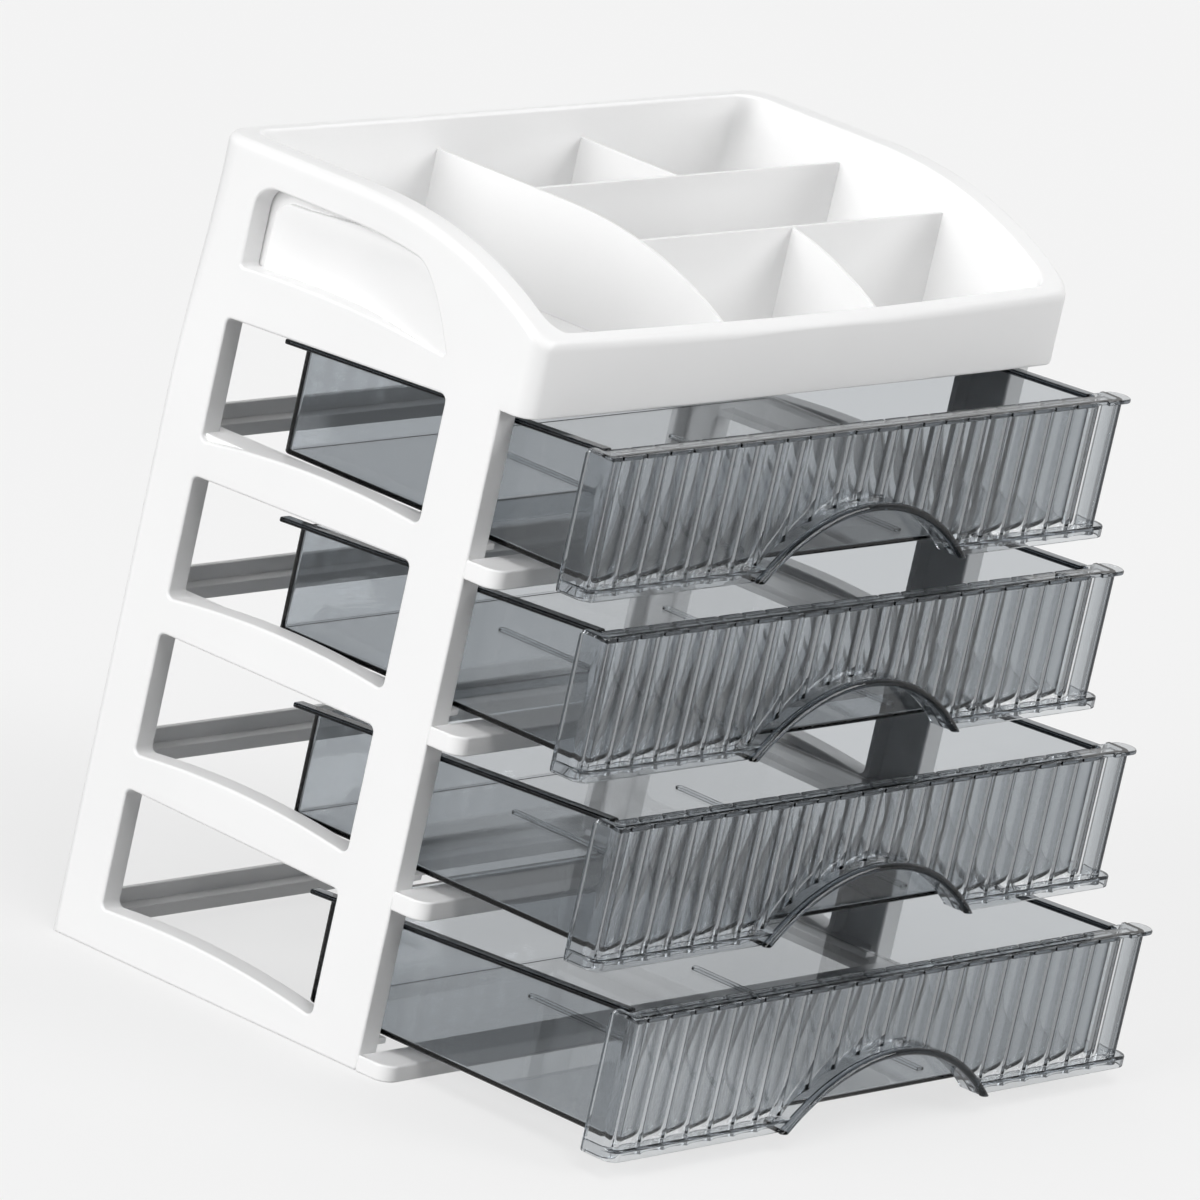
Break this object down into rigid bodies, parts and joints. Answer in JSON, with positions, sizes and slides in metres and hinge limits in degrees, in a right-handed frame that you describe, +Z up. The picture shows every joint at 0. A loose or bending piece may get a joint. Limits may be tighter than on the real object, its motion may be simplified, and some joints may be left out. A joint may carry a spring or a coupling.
{
  "type": "desktop mini drawers",
  "caption": "Desktop organizer: white cabinet with windowed side panels, a divided tray on top and smoky clear fluted drawers with arch pulls that slide out at the front.",
  "frame": {"origin": "centre of the bounding box, at the height of the table, with the drawers drawn out as in the picture", "axes": "+X to the viewer's right along the drawer fronts, +Y from the drawer fronts to the back, +Z up"},
  "size_m": [0.27, 0.2258, 0.2594],
  "materials": {
    "white_plastic": "satin",
    "smoky_clear_plastic": "polished"
  },
  "bodies": {
    "cabinet": {"left_side_panel": "white_plastic", "right_side_panel": "white_plastic", "top_tray": "white_plastic", "long_divider": "white_plastic", "rear_cross_divider": "white_plastic", "front_cross_divider": "white_plastic", "rear_short_divider": "white_plastic", "front_short_divider": "white_plastic", "base_front_rail": "white_plastic", "lower_front_rail": "white_plastic", "middle_front_rail": "white_plastic", "upper_front_rail": "white_plastic", "base_rear_crossbar": "white_plastic", "lower_rear_crossbar": "white_plastic", "middle_rear_crossbar": "white_plastic", "upper_rear_crossbar": "white_plastic"},
    "drawer_1": {"drawer_box_1": "smoky_clear_plastic", "drawer_front_1": "smoky_clear_plastic"},
    "drawer_2": {"drawer_box_2": "smoky_clear_plastic", "drawer_front_2": "smoky_clear_plastic"},
    "drawer_3": {"drawer_box_3": "smoky_clear_plastic", "drawer_front_3": "smoky_clear_plastic"},
    "drawer_4": {"drawer_box_4": "smoky_clear_plastic", "drawer_front_4": "smoky_clear_plastic"}
  },
  "joints": [
    {"name": "drawer_1_slide", "type": "slide", "parent": "cabinet", "child": "drawer_1", "axis": [0, -1, 0], "range_m": [-0.0294, 0.0706]},
    {"name": "drawer_2_slide", "type": "slide", "parent": "cabinet", "child": "drawer_2", "axis": [0, -1, 0], "range_m": [-0.0416, 0.0584]},
    {"name": "drawer_3_slide", "type": "slide", "parent": "cabinet", "child": "drawer_3", "axis": [0, -1, 0], "range_m": [-0.0616, 0.0384]},
    {"name": "drawer_4_slide", "type": "slide", "parent": "cabinet", "child": "drawer_4", "axis": [0, -1, 0], "range_m": [-0.0829, 0.0171]}
  ]
}
